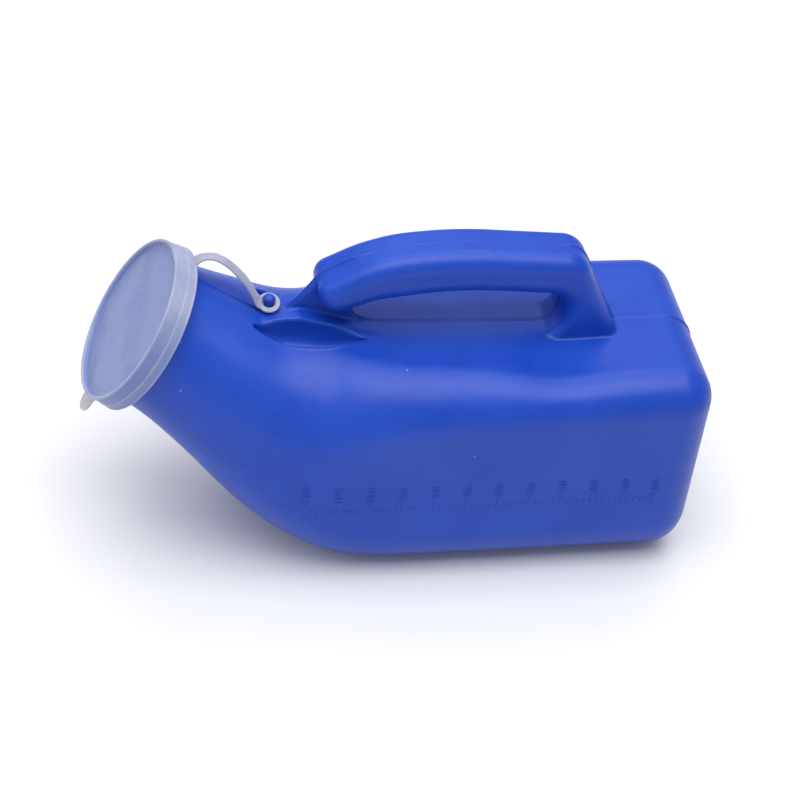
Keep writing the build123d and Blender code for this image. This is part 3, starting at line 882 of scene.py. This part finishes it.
# ------------------------------------------------------------------ eyelet and strap
EYELET_CENTRE, EYELET_TILT = np.array((PEG_X, 0.0, 105.0)), radians(21.0)
EYELET_NORMAL = np.array((0.0, -sin(EYELET_TILT), cos(EYELET_TILT)))
EYELET_PROFILE = ((2.3, -0.6), (4.3, -0.6), (4.3, 0.6), (2.3, 0.6))
ring = soften(EYELET_PROFILE, 0.35, closed=True)
points, faces = spin(ring + ring[:1], 56, EYELET_CENTRE, EYELET_NORMAL, ALONG)
eyelet = add_piece("strap_eyelet_ring", points, faces, MILK)
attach(eyelet, "eyelet")
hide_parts("strap_eyelet")

STRAP_PATH = ((-78.7, 4.1, 120.2), (-77.3, 4.0, 122.2), (-74.6, 3.6, 124.3), (-71.2, 3.1, 124.9),
              (-68.6, 2.7, 124.2), (-65.8, 2.2, 122.6), (-62.2, 1.5, 119.3), (-58.9, 0.9, 115.2),
              (-56.4, 0.6, 111.0), (-54.7, 0.3, 107.6), (-53.7, 0.15, 105.9), (-52.4, 0.0, 105.1))
STATION_COUNT, CROWN_STATION = 61, 26   # the strap is split at its crown
STRAP_WIDTH, ROOT_FLARE, END_FLARE = 4.3, 3.2, 1.3
STRAP_THICKNESS, ROOT_THICKENING = 1.15, 0.45
path = curve_through(STRAP_PATH, STATION_COUNT)
share = np.linspace(0, 1, STATION_COUNT)
widths = STRAP_WIDTH + ROOT_FLARE * ease(1 - share / 0.2) + END_FLARE * ease((share - 0.86) / 0.13)
thicknesses = STRAP_THICKNESS + ROOT_THICKENING * ease(1 - share / 0.14)
turn = EYELET_TILT * ease((share - 0.2) / 0.65)
heading = np.array(STRAP_PATH[-1]) - np.array(STRAP_PATH[0])
flat_across = np.cross(STRAIGHT_UP, heading / np.linalg.norm(heading))
across = flat_across * np.cos(turn)[:, None] + STRAIGHT_UP * np.sin(turn)[:, None]
for name, low, high, bodies, start, end in (
        ("cap_strap_root_half", 0, CROWN_STATION, ("cap", "bottle"), 3, CROWN_STATION - 2),
        ("cap_strap_eyelet_half", CROWN_STATION, STATION_COUNT - 1, ("bottle", "eyelet"), 40, 57)):
    part = slice(low, high + 1)
    points, faces = swept(path[part], across[part], widths[part], thicknesses[part])
    strap = add_piece(name, points, faces, MILK)
    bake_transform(strap)
    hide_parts("cap_strap")

# ------------------------------------------------------------------ floor, light and camera
FLOOR = 3.0
floor_mesh = bpy.data.meshes.new("floor")
floor_mesh.from_pydata([(-FLOOR, -FLOOR, 0), (FLOOR, -FLOOR, 0), (FLOOR, FLOOR, 0), (-FLOOR, FLOOR, 0)], [],
                       [(0, 1, 2, 3)])
floor = bpy.data.objects.new("floor", floor_mesh)
bpy.context.scene.collection.objects.link(floor)
floor_material, _, _, shader = new_material("pale_floor")
shader.inputs["Base Color"].default_value = (0.79, 0.79, 0.80, 1)
shader.inputs["Roughness"].default_value = 0.9
shader.inputs["Specular IOR Level"].default_value = 0.1
floor_mesh.materials.append(floor_material)

world = bpy.data.worlds.new("studio")
bpy.context.scene.world = world
world.use_nodes = True
world.node_tree.nodes["Background"].inputs["Color"].default_value = (0.97, 0.98, 1.0, 1)
world.node_tree.nodes["Background"].inputs["Strength"].default_value = 0.47


def area_light(name, place, target, size, power):
    lamp = bpy.data.lights.new(name, "AREA")
    lamp.shape = "RECTANGLE"
    lamp.size, lamp.size_y = size
    lamp.energy = power
    made = bpy.data.objects.new(name, lamp)
    made.location = place
    made.rotation_euler = (Vector(target) - Vector(place)).to_track_quat("-Z", "Y").to_euler()
    bpy.context.scene.collection.objects.link(made)


TARGET = (0.0, 0.0, 0.06)
area_light("main_softbox", (0.0, -0.27, 1.28), TARGET, (1.4, 1.0), 16.5)
area_light("back_softbox", (0.1, 0.72, 1.3), TARGET, (1.4, 0.8), 7.0)
area_light("left_softbox", (-1.3, -0.2, 0.7), TARGET, (0.8, 0.8), 2.5)

YAW, PITCH, ROLL = radians(13.2), radians(40.5), radians(6.9)
CAMERA_PLACE = Vector((-0.13115, -0.58218, 0.56493))
FOCAL_PIXELS, IMAGE_SIDE, SENSOR = 1971.1, 800, 36.0
forward = Vector((sin(YAW) * cos(PITCH), cos(YAW) * cos(PITCH), -sin(PITCH)))
level = Vector((cos(YAW), -sin(YAW), 0))
upward = level.cross(forward)
right = level * cos(ROLL) + upward * sin(ROLL)
upward = upward * cos(ROLL) - level * sin(ROLL)
lens = bpy.data.cameras.new("camera")
lens.sensor_width = SENSOR
lens.lens = SENSOR * FOCAL_PIXELS / IMAGE_SIDE
lens.clip_start, lens.clip_end = 0.01, 20.0
camera = bpy.data.objects.new("camera", lens)
bpy.context.scene.collection.objects.link(camera)
camera.matrix_world = Matrix((right, upward, -forward)).transposed().to_4x4()
camera.location = CAMERA_PLACE
bpy.context.scene.camera = camera
bpy.context.scene.view_settings.view_transform = "Standard"
